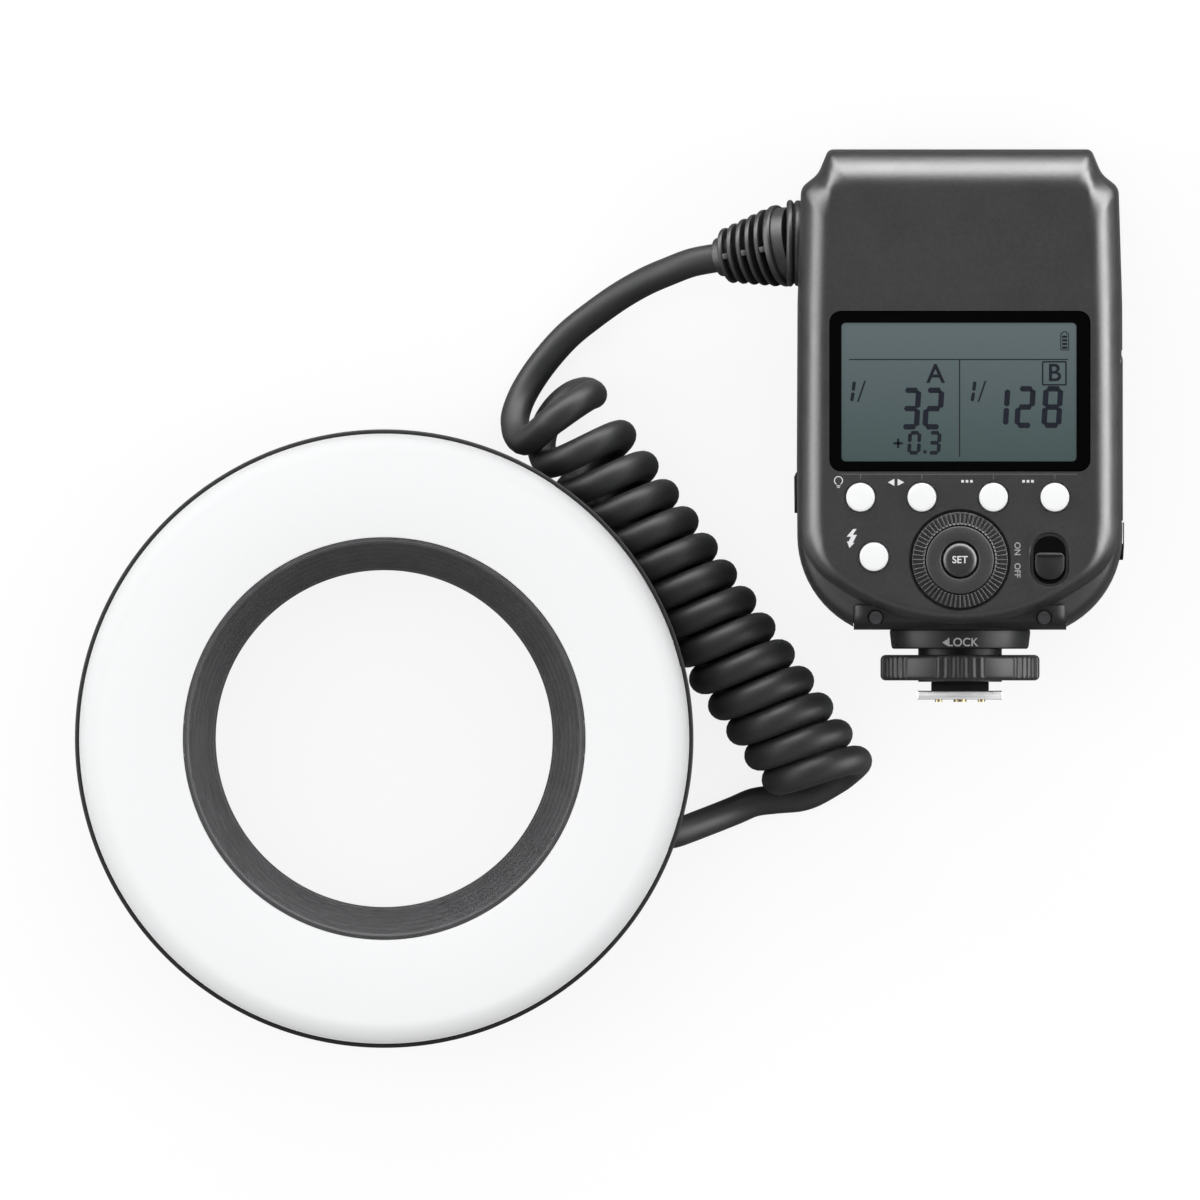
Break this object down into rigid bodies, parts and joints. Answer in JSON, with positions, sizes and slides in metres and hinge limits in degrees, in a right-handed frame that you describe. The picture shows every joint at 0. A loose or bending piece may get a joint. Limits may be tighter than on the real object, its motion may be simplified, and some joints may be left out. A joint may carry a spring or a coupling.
{
  "type": "macro ring flash",
  "caption": "Macro ring flash lying face up: ring-shaped light with a clear lens bore, curly cord and control unit with display, keys, dial and shoe foot.",
  "frame": {"origin": "centre of the lens adapter seat on the ring head's rear face, which lies on the table", "axes": "+Z along the lens bore towards the diffuser, +X towards the control unit, +Y towards the top of its display"},
  "size_m": [0.2275, 0.1932, 0.0515],
  "materials": {
    "satin_black": "satin",
    "soft_black": "fine matt",
    "cord_black": "satin",
    "opal": "opal, soft gloss",
    "white_key": "satin",
    "bright_metal": "brushed",
    "reflector": "bright",
    "tube_glass": "clear",
    "window": "gloss",
    "display": "satin",
    "board": "solder mask",
    "component": "moulded",
    "copper": "wound wire",
    "cell": "sleeved"
  },
  "bodies": {
    "control_unit": {"front_cover": "satin_black", "rear_cover": "satin_black", "base_plate": "satin_black", "lcd_window": "window", "lcd_panel": "display", "lcd_backlight": "opal", "main_board": "board", "key_switches": "bright_metal", "dial_encoder": "component", "switch_body": "component", "flash_capacitor": "component", "transformer": "copper", "battery_holder": "soft_black", "battery_cells": "cell", "battery_contacts": "bright_metal", "battery_door_pin": "bright_metal", "sync_socket": "component", "lock_collar": "satin_black", "shoe_foot": "bright_metal", "shoe_contacts": "bright_metal", "unit_strain_relief": "cord_black", "unit_screws": "bright_metal", "cord_lead": "cord_black", "cord_coil": "cord_black", "dial_cap": "soft_black"},
    "ring_head": {"ring_rear_housing": "satin_black", "ring_rim_band": "soft_black", "ring_diffuser": "opal", "lens_bezel": "soft_black", "flash_tube_left": "tube_glass", "flash_tube_right": "tube_glass", "reflector_left": "reflector", "reflector_right": "reflector", "ring_circuit_board": "board", "modelling_lamps": "component", "trigger_coils": "copper", "ring_screws": "bright_metal", "ring_cable_gland": "cord_black", "cord_tail": "cord_black"},
    "button_left": {"release_button_left": "soft_black"},
    "button_right": {"release_button_right": "soft_black"},
    "lever_left": {"release_lever_left": "bright_metal"},
    "lever_right": {"release_lever_right": "bright_metal"},
    "lamp_key": {"key_lamp": "white_key"},
    "mode_key": {"key_mode": "white_key"},
    "custom_key": {"key_custom": "white_key"},
    "ratio_key": {"key_ratio": "white_key"},
    "test_key": {"key_test": "white_key"},
    "dial": {"select_dial": "soft_black"},
    "set_button": {"set_key": "soft_black"},
    "power_knob": {"power_switch": "soft_black"},
    "door": {"battery_door": "satin_black", "door_contacts": "bright_metal"},
    "latch": {"battery_latch": "soft_black"},
    "socket_flap": {"socket_cover": "soft_black"},
    "wheel": {"lock_wheel": "soft_black"},
    "pin": {"lock_pin": "bright_metal"}
  },
  "joints": [
    {"name": "ring_pull", "type": "slide", "parent": "control_unit", "child": "ring_head", "axis": [0.5861, -0.8102, 0], "range_m": [0, 0.2], "stiffness_N_per_m": 5},
    {"name": "release_left", "type": "slide", "parent": "ring_head", "child": "button_left", "axis": [1, 0, 0], "range_m": [0, 0.0012], "stiffness_N_per_m": 200},
    {"name": "release_right", "type": "slide", "parent": "ring_head", "child": "button_right", "axis": [-1, 0, 0], "range_m": [0, 0.0012], "stiffness_N_per_m": 200},
    {"name": "lever_left_pivot", "type": "hinge", "parent": "ring_head", "child": "lever_left", "pos_m": [-0.044, 0, 0.0092], "axis": [0, 1, 0], "range_deg": [0, 14.9]},
    {"name": "lever_right_pivot", "type": "hinge", "parent": "ring_head", "child": "lever_right", "pos_m": [0.044, 0, 0.0092], "axis": [0, -1, 0], "range_deg": [0, 14.9]},
    {"name": "lamp_press", "type": "slide", "parent": "control_unit", "child": "lamp_key", "axis": [0, 0, -1], "range_m": [0, 0.0007], "stiffness_N_per_m": 300},
    {"name": "mode_press", "type": "slide", "parent": "control_unit", "child": "mode_key", "axis": [0, 0, -1], "range_m": [0, 0.0007], "stiffness_N_per_m": 300},
    {"name": "custom_press", "type": "slide", "parent": "control_unit", "child": "custom_key", "axis": [0, 0, -1], "range_m": [0, 0.0007], "stiffness_N_per_m": 300},
    {"name": "ratio_press", "type": "slide", "parent": "control_unit", "child": "ratio_key", "axis": [0, 0, -1], "range_m": [0, 0.0007], "stiffness_N_per_m": 300},
    {"name": "test_press", "type": "slide", "parent": "control_unit", "child": "test_key", "axis": [0, 0, -1], "range_m": [0, 0.0007], "stiffness_N_per_m": 300},
    {"name": "set_press", "type": "slide", "parent": "control_unit", "child": "set_button", "axis": [0, 0, -1], "range_m": [0, 0.0007], "stiffness_N_per_m": 300},
    {"name": "dial_turn", "type": "hinge", "parent": "control_unit", "child": "dial", "pos_m": [0.1238, 0.0384, 0.05], "axis": [0, 0, 1], "continuous": true},
    {"name": "power_slide", "type": "slide", "parent": "control_unit", "child": "power_knob", "axis": [0, 1, 0], "range_m": [0, 0.0026]},
    {"name": "door_hinge", "type": "hinge", "parent": "control_unit", "child": "door", "pos_m": [0.1577, 0.0812, 0.025], "axis": [0, 0, 1], "range_deg": [0, 95]},
    {"name": "latch_slide", "type": "slide", "parent": "control_unit", "child": "latch", "axis": [0, 1, 0], "range_m": [0, 0.0018]},
    {"name": "flap_hinge", "type": "hinge", "parent": "control_unit", "child": "socket_flap", "pos_m": [0.0887, 0.0565, 0.025], "axis": [0, 0, -1], "range_deg": [0, 90]},
    {"name": "wheel_turn", "type": "hinge", "parent": "control_unit", "child": "wheel", "pos_m": [0.1238, 0.0152, 0.025], "axis": [0, 1, 0], "range_deg": [0, 270]},
    {"name": "pin_drop", "type": "slide", "parent": "control_unit", "child": "pin", "axis": [0, -1, 0], "range_m": [0, 0.0015]}
  ],
  "couplings": [
    {"joint": "lever_left_pivot", "follows": "release_left", "rad_per_m": 216.7},
    {"joint": "lever_right_pivot", "follows": "release_right", "rad_per_m": 216.7},
    {"joint": "pin_drop", "follows": "wheel_turn", "m_per_rad": 0.000318}
  ]
}
